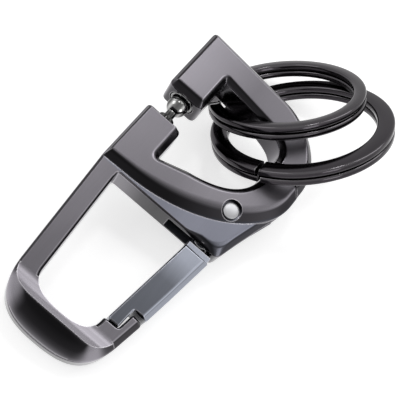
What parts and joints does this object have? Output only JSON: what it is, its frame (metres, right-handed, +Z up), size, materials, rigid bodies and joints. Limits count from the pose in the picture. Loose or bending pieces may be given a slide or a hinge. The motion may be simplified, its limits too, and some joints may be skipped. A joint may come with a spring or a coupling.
{
  "type": "carabiner keychain",
  "caption": "Cast metal carabiner with a sprung gate, a raised key loop that swings open at a ball catch, and flat split rings on the loop.",
  "frame": {"origin": "centre of the whole's bounding box, at its base, which is the table it rests on", "axes": "+Z up from the table; +Y from the carabiner's nose to the key loop and its rings; +X from the arm's side to the gate's side"},
  "size_m": [0.0368, 0.0742, 0.0194],
  "materials": {
    "gunmetal": "dark plated, finely brushed on top and polished on the bevels",
    "gate_gunmetal": "dark plated, satin",
    "black_nickel": "glossy black nickel",
    "satin_steel": "satin",
    "chrome": "polished"
  },
  "bodies": {
    "frame": {"frame": "gunmetal", "loop_rivet": "satin_steel", "ball_stud": "chrome", "gate_pin": "satin_steel", "gate_spring": "satin_steel"},
    "loop_hook": {"loop_hook": "gunmetal", "catch_sleeve": "chrome"},
    "gate": {"gate": "gate_gunmetal"},
    "ring_large": {"split_ring_large": "black_nickel"},
    "ring_small": {"split_ring_small": "black_nickel"}
  },
  "joints": [
    {"name": "gate_hinge", "type": "hinge", "parent": "frame", "child": "gate", "pos_m": [0.00301, -0.00817, 0.00618], "axis": [-0.1525, 0.1191, -0.9811], "range_deg": [0, 30], "stiffness_Nm_per_rad": 0.05, "springref_deg": -28.65},
    {"name": "loop_hinge", "type": "hinge", "parent": "frame", "child": "loop_hook", "pos_m": [0.00326, -0.00201, 0.00689], "axis": [-0.1525, 0.1191, -0.9811], "range_deg": [0, 18]},
    {"name": "large_ring_swing", "type": "hinge", "parent": "loop_hook", "child": "ring_large", "pos_m": [0.0042, 0.0197, 0.00969], "axis": [-0.3851, -0.9214, -0.052], "range_deg": [0, 45.01]},
    {"name": "small_ring_swing", "type": "hinge", "parent": "loop_hook", "child": "ring_small", "pos_m": [-0.00137, 0.02326, 0.00987], "axis": [-0.4538, -0.8903, -0.0376], "range_deg": [0, 45.01]}
  ],
  "couplings": [
    {"joint": "large_ring_swing", "follows": "loop_hinge", "ratio": 2.5},
    {"joint": "small_ring_swing", "follows": "loop_hinge", "ratio": 2.5}
  ]
}
